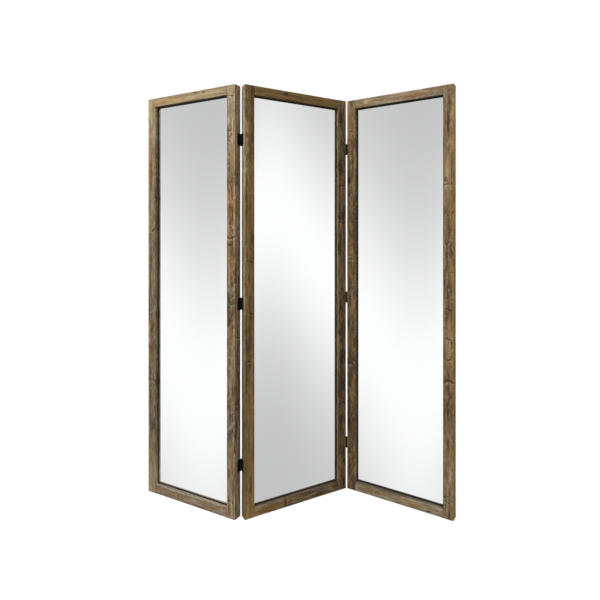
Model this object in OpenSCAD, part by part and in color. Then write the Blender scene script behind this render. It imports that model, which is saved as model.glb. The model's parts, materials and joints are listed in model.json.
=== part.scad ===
// Folding room divider screen: three framed mirror panels joined by two rows of butt hinges.
// Each frame has two full-height stiles with the rails dowelled between them. A stepped rebate
// in the back of the frame holds the mirror glass and, behind it, a screwed backing board.
// X runs across the screen, +Y points away from its front, +Z is up. The origin is on the floor
// in the middle of the centre panel's foot.

/* [Panels] */
// Width of one panel
panel_w = 505.3; // [400:0.1:700]
// Height of the panels
panel_h = 1828.8; // [1500:0.1:2200]
// Thickness of the frame, front to back
panel_t = 38.1; // [36:0.1:50]
// Face width of the stiles
stile_w = 43.2; // [36:0.1:70]
// Face width of the top and bottom rails
rail_w = 40.6; // [36:0.1:90]
// Radius of the eased long edges
edge_r = 1.2; // [1:0.1:3]

/* [Mirror] */
// Depth from the front of the frame to the mirror
lip_depth = 17.5; // [15:0.5:20]
// Thickness of the mirror glass
glass_t = 4; // [3:0.5:6]
// Reach of the glass behind the frame's lip
glass_lap = 6; // [4:0.5:7]
// Play around the glass, the edging and the board
seat_play = 0.5; // [0.2:0.1:1]
// Face width of the black edging around the glass
edging_w = 5; // [3:0.5:10]
// Thickness of the edging
edging_t = 2; // [1:0.5:4]

/* [Backing board] */
// Thickness of the backing board
board_t = 6; // [4:0.5:8]
// Reach of the board beyond the frame's opening
board_lap = 16; // [15:0.5:17]
// Screws along each stile
stile_screws = 5; // [2:1:9]
// Screws along each rail
rail_screws = 2; // [1:1:4]
// Distance from the opening's corner to the first board screw
board_screw_inset = 60; // [45:1:100]

/* [Dowels] */
// Diameter of the dowels in the corner joints
dowel_d = 8; // [6:0.5:10]
// Length of a dowel
dowel_l = 50; // [36:1:58]
// Distance between the two dowels of a joint
dowel_pitch = 16; // [12:0.5:19]
// Spare depth at the end of a dowel hole
dowel_end_play = 1; // [0.5:0.1:2]

/* [Hinges] */
// Gap between two panels laid flat
panel_gap = 4; // [4:0.1:5]
// Distance of the pin's axis beyond the face of the panels
pin_out = 1.5; // [1.5:0.1:4]
// Height of a hinge
hinge_h = 50.8; // [46:0.1:70]
// Reach of a leaf from the pin's axis to its far edge
leaf_w = 23; // [22:0.5:28]
// Thickness of a leaf
leaf_t = 1.5; // [1.5:0.1:1.8]
// Radius of the leaf's free corners
leaf_corner_r = 3; // [1:0.5:5]
// Diameter of the knuckles
knuckle_d = 5.4; // [4.8:0.1:5.6]
// End clearance between two knuckles
knuckle_gap = 0.4; // [0.2:0.1:1]
// Diameter of the hinge pin
pin_d = 2.5; // [2:0.1:3]
// Diameter of the pin's flat heads
pin_head_d = 4.2; // [3.4:0.1:5]
// Height of the pin's flat heads
pin_head_h = 1; // [0.5:0.1:2]
// Distance from the top of a panel to the middle of its top hinge
top_hinge_inset = 228.6; // [120:0.1:400]
// Distance from the foot of a panel to the middle of its bottom hinge
bottom_hinge_inset = 218; // [120:0.1:400]
// Distance of the middle hinge below the middle of the panel
middle_hinge_drop = 11; // [0:0.5:40]
// Distance between the outer screws of a leaf
leaf_screw_pitch = 34; // [24:0.5:36]
// Distance of the outer screws from the pin's axis
leaf_screw_near = 11; // [9:0.5:13]
// Distance of the middle screw from the pin's axis
leaf_screw_far = 18.5; // [14:0.5:18.5]

/* [Screws] */
// Shank diameter
screw_d = 3.5; // [3:0.1:4]
// Head diameter
screw_head_d = 6.4; // [6:0.1:7]
// Head height
screw_head_h = 1.5; // [1.2:0.1:1.5]
// Rounding of a pan head's rim
pan_round = 0.9; // [0.3:0.1:1.1]
// Length of a hinge screw
hinge_screw_l = 16; // [12:1:18]
// Length of a board screw under its head
board_screw_l = 15; // [12:1:18]
// Length of the pointed end
screw_tip = 4; // [2:0.5:5]
// Length of the cross recess's slots
recess_l = 3.5; // [2.5:0.1:4]
// Width of the cross recess's slots
recess_w = 0.8; // [0.6:0.1:1]
// Depth of the cross recess
recess_h = 0.8; // [0.5:0.1:1]

/* [Fold] */
// Fold of the left panel: 0 is flat, 180 is folded up behind the centre panel
left_fold = 58; // [0:1:180]
// Fold of the right panel: 0 is flat, 180 is folded up in front of the centre panel
right_fold = 62; // [0:1:180]
// Turn of the centre panel
centre_turn = 30.5; // [-45:0.5:45]
// Radial clearance of each pin, dowel and screw in its hole
fit_play = 0.05; // [0.02:0.01:0.1]

/* [Hidden] */
$fn = 48;

// Panels and their edges
LEFT = 0;
CENTRE = 1;
RIGHT = 2;
BACK_PIN = true;
FRONT_PIN = false;

// Finishes
wood_tones = [[0.62, 0.52, 0.37], [0.42, 0.32, 0.20], [0.52, 0.41, 0.28]];
mirror_tone = [0.86, 0.88, 0.89];
edging_tone = [0.05, 0.05, 0.05];
board_tone = [0.45, 0.34, 0.24];
dowel_tone = [0.80, 0.68, 0.48];
hinge_tone = [0.07, 0.07, 0.07];
screw_tone = [0.15, 0.15, 0.15];

// The opening in the frame, as left, bottom, right and top
open_x0 = stile_w;
open_z0 = rail_w;
open_x1 = panel_w - stile_w;
open_z1 = panel_h - rail_w;
open_w = open_x1 - open_x0;
open_h = open_z1 - open_z0;

// Depths behind the front of the frame
board_y = lip_depth + glass_t;
board_back_y = board_y + board_t;

// The board screws stand midway on the ledge between the glass and the board's edge
board_screw_lap = (glass_lap + board_lap) / 2;

// Hinge sizes that follow from the others
knuckle_r = knuckle_d / 2;
knuckle_h = (hinge_h - 2 * knuckle_gap) / 3;
knuckle_pitch = knuckle_h + knuckle_gap;
leaf_start = knuckle_r + knuckle_gap;
half_gap = panel_gap / 2;
hinge_z = [
  bottom_hinge_inset,
  panel_h / 2 - middle_hinge_drop,
  panel_h - top_hinge_inset
];

// Cutters reach past the surface they start from
past = 1;

// n places spread evenly from lo to hi
function spread(lo, hi, n) = n < 2 ? [(lo + hi) / 2] : [for (i = [0:n - 1]) lo + (hi - lo) * i / (n - 1)];

// Where the board screws stand, as [x, z]
board_screw_places = concat(
  [for (z = spread(open_z0 + board_screw_inset, open_z1 - board_screw_inset, stile_screws),
        x = [open_x0 - board_screw_lap, open_x1 + board_screw_lap]) [x, z]],
  [for (x = spread(open_x0 + board_screw_inset, open_x1 - board_screw_inset, rail_screws),
        z = [open_z0 - board_screw_lap, open_z1 + board_screw_lap]) [x, z]]
);

// Where a leaf's screws stand, as [distance from the pin's axis, height from the leaf's middle]
leaf_screw_places = [
  [leaf_screw_near, -leaf_screw_pitch / 2],
  [leaf_screw_far, 0],
  [leaf_screw_near, leaf_screw_pitch / 2]
];

// Where the dowels cross the joint between stile and rail, as [x, z]
dowel_places = [
  for (x = [open_x0, open_x1], middle = [rail_w / 2, panel_h - rail_w / 2], step = [-1, 1])
    [x, middle + step * dowel_pitch / 2]
];

// ---- Placing ----

module flip(on, axis) {
  if (on) mirror(axis) children();
  else children();
}

// Pin axis of a hinge row, in a panel's own frame. The row is on the panel's left or right edge.
function pin_axis(on_right_edge, pin_at_back) = [
  on_right_edge ? panel_w + half_gap : -half_gap,
  pin_at_back ? panel_t + pin_out : -pin_out,
  0
];

// A panel's own frame has its front lower left corner at the origin and its front facing -Y
module place_panel(panel) {
  fold_left = panel == LEFT;
  pin_at_back = fold_left ? BACK_PIN : FRONT_PIN;
  rotate([0, 0, centre_turn])
    translate([-panel_w / 2, -panel_t / 2, 0])
      if (panel == CENTRE) children();
      else
        translate(pin_axis(!fold_left, pin_at_back))
          rotate([0, 0, fold_left ? -left_fold : -right_fold])
            translate(-pin_axis(fold_left, pin_at_back))
              children();
}

// A hinge's own frame: the pin is the Z axis, and the leaf lies on a panel edge at -X, running
// off in +Y. It goes to a panel's left or right edge, with the pin behind or in front.
module place_hinge(on_right_edge, pin_at_back, z) {
  translate(pin_axis(on_right_edge, pin_at_back) + [0, 0, z])
    flip(!on_right_edge, [1, 0, 0])
      flip(pin_at_back, [0, 1, 0])
        children();
}

// ---- Frame ----

// A square-ended bar along Z with its four long edges eased
module eased_bar(w, t, l) {
  linear_extrude(l) {
    translate([edge_r, 0]) square([w - 2 * edge_r, t]);
    translate([0, edge_r]) square([w, t - 2 * edge_r]);
    for (x = [edge_r, w - edge_r], y = [edge_r, t - edge_r])
      translate([x, y]) circle(edge_r);
  }
}

// The space that a rebate takes out of the back of the frame, from depth y to the back
module rebate(lap, y) {
  reach = lap + seat_play;
  translate([open_x0 - reach, y, open_z0 - reach])
    cube([open_w + 2 * reach, panel_t - y + past, open_h + 2 * reach]);
}

module board_screw_holes(play) {
  for (place = board_screw_places)
    translate([place[0], board_back_y + past, place[1]])
      rotate([90, 0, 0])
        cylinder(r = screw_d / 2 + play, h = board_screw_l + past);
}

module dowel_bores() {
  bore_l = dowel_l + 2 * dowel_end_play;
  for (place = dowel_places)
    translate([place[0] - bore_l / 2, lip_depth / 2, place[1]])
      rotate([0, 90, 0])
        cylinder(r = dowel_d / 2 + fit_play, h = bore_l);
}

module hinge_screw_bores(on_right_edge, pin_at_back) {
  for (z = hinge_z)
    place_hinge(on_right_edge, pin_at_back, z)
      for (place = leaf_screw_places)
        translate([leaf_t - half_gap, place[0], place[1]])
          rotate([0, -90, 0])
            cylinder(r = screw_d / 2 + fit_play, h = hinge_screw_l);
}

// What every member of a frame has cut out of it
module frame_cuts() {
  rebate(glass_lap, lip_depth);
  rebate(board_lap, board_y);
  board_screw_holes(fit_play);
  dowel_bores();
}

module stile(panel, on_right) {
  color(wood_tones[panel])
    place_panel(panel)
      difference() {
        translate([on_right ? open_x1 : 0, 0, 0]) eased_bar(stile_w, panel_t, panel_h);
        frame_cuts();
        if (panel == LEFT && on_right) hinge_screw_bores(true, BACK_PIN);
        if (panel == CENTRE && !on_right) hinge_screw_bores(false, BACK_PIN);
        if (panel == CENTRE && on_right) hinge_screw_bores(true, FRONT_PIN);
        if (panel == RIGHT && !on_right) hinge_screw_bores(false, FRONT_PIN);
      }
}

module rail(panel, on_top) {
  color(wood_tones[panel])
    place_panel(panel)
      difference() {
        translate([open_x0, 0, on_top ? panel_h : rail_w])
          rotate([0, 90, 0])
            eased_bar(rail_w, panel_t, open_w);
        frame_cuts();
      }
}

module dowels(panel) {
  color(dowel_tone)
    place_panel(panel)
      for (place = dowel_places)
        translate([place[0] - dowel_l / 2, lip_depth / 2, place[1]])
          rotate([0, 90, 0])
            cylinder(r = dowel_d / 2, h = dowel_l);
}

// ---- Mirror and back ----

module mirror_glass(panel) {
  color(mirror_tone)
    place_panel(panel)
      translate([open_x0 - glass_lap, lip_depth, open_z0 - glass_lap])
        cube([open_w + 2 * glass_lap, glass_t, open_h + 2 * glass_lap]);
}

// A flat black strip round the glass, inside the frame's lip
module mirror_edging(panel) {
  ring_w = open_w - 2 * seat_play;
  ring_h = open_h - 2 * seat_play;
  color(edging_tone)
    place_panel(panel)
      translate([open_x0 + seat_play, lip_depth, open_z0 + seat_play])
        rotate([90, 0, 0])
          linear_extrude(edging_t)
            difference() {
              square([ring_w, ring_h]);
              translate([edging_w, edging_w]) square([ring_w - 2 * edging_w, ring_h - 2 * edging_w]);
            }
}

module backing_board(panel) {
  color(board_tone)
    place_panel(panel)
      difference() {
        translate([open_x0 - board_lap, board_y, open_z0 - board_lap])
          cube([open_w + 2 * board_lap, board_t, open_h + 2 * board_lap]);
        board_screw_holes(fit_play);
      }
}

// ---- Screws ----

// Two crossed slots, sunk from z = 0 down
module cross_recess() {
  for (turn = [0, 90])
    rotate([0, 0, turn])
      translate([-recess_l / 2, -recess_w / 2, -recess_h])
        cube([recess_l, recess_w, recess_h + past]);
}

// A shank that points down from z = 0, with its tip at -l
module screw_shank(l) {
  translate([0, 0, -l]) cylinder(r1 = 0, r2 = screw_d / 2, h = screw_tip);
  translate([0, 0, screw_tip - l]) cylinder(r = screw_d / 2, h = l - screw_tip);
}

// Countersunk screw with its head flush with z = 0
module flat_screw(l) {
  difference() {
    union() {
      translate([0, 0, -screw_head_h])
        cylinder(r1 = screw_d / 2, r2 = screw_head_d / 2, h = screw_head_h);
      screw_shank(l);
    }
    cross_recess();
  }
}

// Pan-head screw with the underside of its head at z = 0
module pan_screw(l) {
  flat_r = screw_head_d / 2 - pan_round;
  rim_h = screw_head_h - pan_round;
  difference() {
    union() {
      rotate_extrude() {
        square([screw_head_d / 2, rim_h]);
        square([flat_r, screw_head_h]);
        translate([flat_r, rim_h])
          intersection() {
            circle(pan_round);
            square(pan_round);
          }
      }
      screw_shank(l);
    }
    translate([0, 0, screw_head_h]) cross_recess();
  }
}

module board_screws(panel) {
  color(screw_tone)
    place_panel(panel)
      for (place = board_screw_places)
        translate([place[0], board_back_y, place[1]])
          rotate([-90, 0, 0])
            pan_screw(board_screw_l);
}

// ---- Hinges ----

// A leaf's plate in the YZ plane, square along the knuckles and rounded at its free corners
module leaf_plate() {
  plate_w = leaf_w - leaf_start;
  translate([-half_gap, leaf_start, -hinge_h / 2])
    rotate([90, 0, 90])
      linear_extrude(leaf_t) {
        square([plate_w - leaf_corner_r, hinge_h]);
        translate([0, leaf_corner_r]) square([plate_w, hinge_h - 2 * leaf_corner_r]);
        for (z = [leaf_corner_r, hinge_h - leaf_corner_r])
          translate([plate_w - leaf_corner_r, z]) circle(leaf_corner_r);
      }
}

// One knuckle rolled from the leaf, with the strip that joins it to the plate
module knuckle(z) {
  translate([0, 0, z - knuckle_h / 2]) {
    cylinder(r = knuckle_r, h = knuckle_h);
    translate([-half_gap, 0, 0]) cube([leaf_t, leaf_start + past, knuckle_h]);
  }
}

module hinge_leaf(knuckle_places) {
  difference() {
    union() {
      leaf_plate();
      for (z = knuckle_places) knuckle(z);
    }
    translate([0, 0, -hinge_h / 2 - past])
      cylinder(r = pin_d / 2 + fit_play, h = hinge_h + 2 * past);
    for (place = leaf_screw_places)
      translate([leaf_t - half_gap, place[0], place[1]])
        rotate([0, 90, 0]) {
          translate([0, 0, -leaf_t - past])
            cylinder(r = screw_d / 2 + fit_play, h = leaf_t + 2 * past);
          translate([0, 0, -screw_head_h])
            cylinder(r1 = screw_d / 2 + fit_play, r2 = screw_head_d / 2 + fit_play, h = screw_head_h);
        }
  }
}

// The outer leaf carries the two end knuckles, and the centre leaf the middle one
module outer_leaf(panel, z) {
  on_right_edge = panel == LEFT;
  color(hinge_tone)
    place_panel(panel)
      place_hinge(on_right_edge, on_right_edge ? BACK_PIN : FRONT_PIN, z)
        hinge_leaf([-knuckle_pitch, knuckle_pitch]);
}

module centre_leaf(panel, z) {
  on_right_edge = panel == RIGHT;
  color(hinge_tone)
    place_panel(CENTRE)
      place_hinge(on_right_edge, on_right_edge ? FRONT_PIN : BACK_PIN, z)
        hinge_leaf([0]);
}

module hinge_pin(panel, z) {
  on_right_edge = panel == LEFT;
  color(hinge_tone)
    place_panel(panel)
      place_hinge(on_right_edge, on_right_edge ? BACK_PIN : FRONT_PIN, z) {
        translate([0, 0, -hinge_h / 2]) cylinder(r = pin_d / 2, h = hinge_h);
        for (foot = [-hinge_h / 2 - pin_head_h, hinge_h / 2])
          translate([0, 0, foot]) cylinder(r = pin_head_d / 2, h = pin_head_h);
      }
}

module leaf_screws() {
  for (place = leaf_screw_places)
    translate([leaf_t - half_gap, place[0], place[1]])
      rotate([0, 90, 0])
        flat_screw(hinge_screw_l);
}

module outer_screws(panel, z) {
  on_right_edge = panel == LEFT;
  color(screw_tone)
    place_panel(panel)
      place_hinge(on_right_edge, on_right_edge ? BACK_PIN : FRONT_PIN, z)
        leaf_screws();
}

module centre_screws(panel, z) {
  on_right_edge = panel == RIGHT;
  color(screw_tone)
    place_panel(CENTRE)
      place_hinge(on_right_edge, on_right_edge ? FRONT_PIN : BACK_PIN, z)
        leaf_screws();
}

// Left panel
stile(LEFT, on_right = false);  // left_outer_stile
stile(LEFT, on_right = true);  // left_hinge_stile
rail(LEFT, on_top = true);  // left_top_rail
rail(LEFT, on_top = false);  // left_bottom_rail
mirror_glass(LEFT);  // left_mirror
mirror_edging(LEFT);  // left_mirror_edging
backing_board(LEFT);  // left_backing_board
board_screws(LEFT);  // left_board_screws
dowels(LEFT);  // left_dowels

// Centre panel
stile(CENTRE, on_right = false);  // centre_left_stile
stile(CENTRE, on_right = true);  // centre_right_stile
rail(CENTRE, on_top = true);  // centre_top_rail
rail(CENTRE, on_top = false);  // centre_bottom_rail
mirror_glass(CENTRE);  // centre_mirror
mirror_edging(CENTRE);  // centre_mirror_edging
backing_board(CENTRE);  // centre_backing_board
board_screws(CENTRE);  // centre_board_screws
dowels(CENTRE);  // centre_dowels

// Right panel
stile(RIGHT, on_right = false);  // right_hinge_stile
stile(RIGHT, on_right = true);  // right_outer_stile
rail(RIGHT, on_top = true);  // right_top_rail
rail(RIGHT, on_top = false);  // right_bottom_rail
mirror_glass(RIGHT);  // right_mirror
mirror_edging(RIGHT);  // right_mirror_edging
backing_board(RIGHT);  // right_backing_board
board_screws(RIGHT);  // right_board_screws
dowels(RIGHT);  // right_dowels

// Left hinges
outer_leaf(LEFT, hinge_z[0]);  // left_bottom_hinge_outer_leaf
centre_leaf(LEFT, hinge_z[0]);  // left_bottom_hinge_centre_leaf
hinge_pin(LEFT, hinge_z[0]);  // left_bottom_hinge_pin
outer_screws(LEFT, hinge_z[0]);  // left_bottom_hinge_outer_screws
centre_screws(LEFT, hinge_z[0]);  // left_bottom_hinge_centre_screws
outer_leaf(LEFT, hinge_z[1]);  // left_middle_hinge_outer_leaf
centre_leaf(LEFT, hinge_z[1]);  // left_middle_hinge_centre_leaf
hinge_pin(LEFT, hinge_z[1]);  // left_middle_hinge_pin
outer_screws(LEFT, hinge_z[1]);  // left_middle_hinge_outer_screws
centre_screws(LEFT, hinge_z[1]);  // left_middle_hinge_centre_screws
outer_leaf(LEFT, hinge_z[2]);  // left_top_hinge_outer_leaf
centre_leaf(LEFT, hinge_z[2]);  // left_top_hinge_centre_leaf
hinge_pin(LEFT, hinge_z[2]);  // left_top_hinge_pin
outer_screws(LEFT, hinge_z[2]);  // left_top_hinge_outer_screws
centre_screws(LEFT, hinge_z[2]);  // left_top_hinge_centre_screws

// Right hinges
outer_leaf(RIGHT, hinge_z[0]);  // right_bottom_hinge_outer_leaf
centre_leaf(RIGHT, hinge_z[0]);  // right_bottom_hinge_centre_leaf
hinge_pin(RIGHT, hinge_z[0]);  // right_bottom_hinge_pin
outer_screws(RIGHT, hinge_z[0]);  // right_bottom_hinge_outer_screws
centre_screws(RIGHT, hinge_z[0]);  // right_bottom_hinge_centre_screws
outer_leaf(RIGHT, hinge_z[1]);  // right_middle_hinge_outer_leaf
centre_leaf(RIGHT, hinge_z[1]);  // right_middle_hinge_centre_leaf
hinge_pin(RIGHT, hinge_z[1]);  // right_middle_hinge_pin
outer_screws(RIGHT, hinge_z[1]);  // right_middle_hinge_outer_screws
centre_screws(RIGHT, hinge_z[1]);  // right_middle_hinge_centre_screws
outer_leaf(RIGHT, hinge_z[2]);  // right_top_hinge_outer_leaf
centre_leaf(RIGHT, hinge_z[2]);  // right_top_hinge_centre_leaf
hinge_pin(RIGHT, hinge_z[2]);  // right_top_hinge_pin
outer_screws(RIGHT, hinge_z[2]);  // right_top_hinge_outer_screws
centre_screws(RIGHT, hinge_z[2]);  // right_top_hinge_centre_screws
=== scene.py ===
import json
import math
from typing import NamedTuple

import bpy
import numpy as np
from bpy.props import FloatProperty, FloatVectorProperty, PointerProperty
from mathutils import Matrix, Vector


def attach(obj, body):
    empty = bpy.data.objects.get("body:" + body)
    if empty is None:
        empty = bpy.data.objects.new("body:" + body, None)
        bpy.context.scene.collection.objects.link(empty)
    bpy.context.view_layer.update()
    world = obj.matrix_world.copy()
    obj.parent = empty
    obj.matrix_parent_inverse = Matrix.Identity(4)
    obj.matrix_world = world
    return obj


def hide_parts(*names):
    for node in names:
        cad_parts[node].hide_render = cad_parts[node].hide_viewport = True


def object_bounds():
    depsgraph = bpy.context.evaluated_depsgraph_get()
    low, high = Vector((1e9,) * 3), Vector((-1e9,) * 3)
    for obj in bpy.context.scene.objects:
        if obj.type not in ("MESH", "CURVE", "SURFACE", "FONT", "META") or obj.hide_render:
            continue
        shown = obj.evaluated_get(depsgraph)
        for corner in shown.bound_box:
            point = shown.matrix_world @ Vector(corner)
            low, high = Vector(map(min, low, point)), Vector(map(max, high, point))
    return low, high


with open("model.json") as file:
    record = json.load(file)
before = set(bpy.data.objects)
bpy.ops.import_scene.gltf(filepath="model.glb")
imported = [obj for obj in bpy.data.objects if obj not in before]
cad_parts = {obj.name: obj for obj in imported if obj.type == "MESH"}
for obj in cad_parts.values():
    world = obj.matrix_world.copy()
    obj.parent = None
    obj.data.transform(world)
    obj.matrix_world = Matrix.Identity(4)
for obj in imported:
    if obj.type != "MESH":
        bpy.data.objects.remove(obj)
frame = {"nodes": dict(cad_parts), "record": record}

bl_info = {
    "name": "Folding Mirror Screen",
    "version": (1, 0, 0),
    "blender": (4, 5, 0),
    "location": "3D View > Sidebar > Screen",
    "description": "Dresses a folding mirror screen in weathered wood, glass and black steel",
    "category": "Object",
}

NODES = frame["nodes"]
BODY_OF = {n: b for b, names in frame["record"]["behaviour"]["bodies"].items() for n in names}
CAD_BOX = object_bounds()
PANELS = ("left", "centre", "right")
MM = 0.001
WHITE = (1, 1, 1, 1)


# ---- Marks and members -----------------------------------

class Mark(NamedTuple):
    """A knot, a line across the grain or a patch on a face. Lengths are in millimetres: across the
    face and up along the grain, both from the member's middle, then half the width and half the
    height. A rail's grain runs to the right, and across it is downwards."""
    kind: str
    face: str
    across: float
    up: float
    wide: float
    tall: float


class Member(NamedTuple):
    """One wooden part of a panel's frame: its tones from one end to the other, the strength of its
    figure, its streaks and weathering, its tint, where its pith lay in millimetres from its middle,
    its marks, the painted light and shade that its faces towards the glass are multiplied by, and
    its drying cracks: the face, how far across it, and the two heights it runs between."""
    node: str
    tones: tuple
    figure: float
    rust: float
    grey: float
    tint: tuple
    pith: tuple
    marks: tuple
    # Painted light and shade: a colour factor for the faces towards the glass.
    inner: tuple = (1.00, 1.06, 1.10)
    checks: tuple = ()

    @property
    def panel(self):
        return self.node.split("_")[0]

    @property
    def upright(self):
        return self.node.endswith("_stile")


def on(face, **kinds):
    """The marks on one face, by their kinds."""
    return tuple(Mark(kind, face, *place) for kind, places in kinds.items() for place in places)


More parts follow.
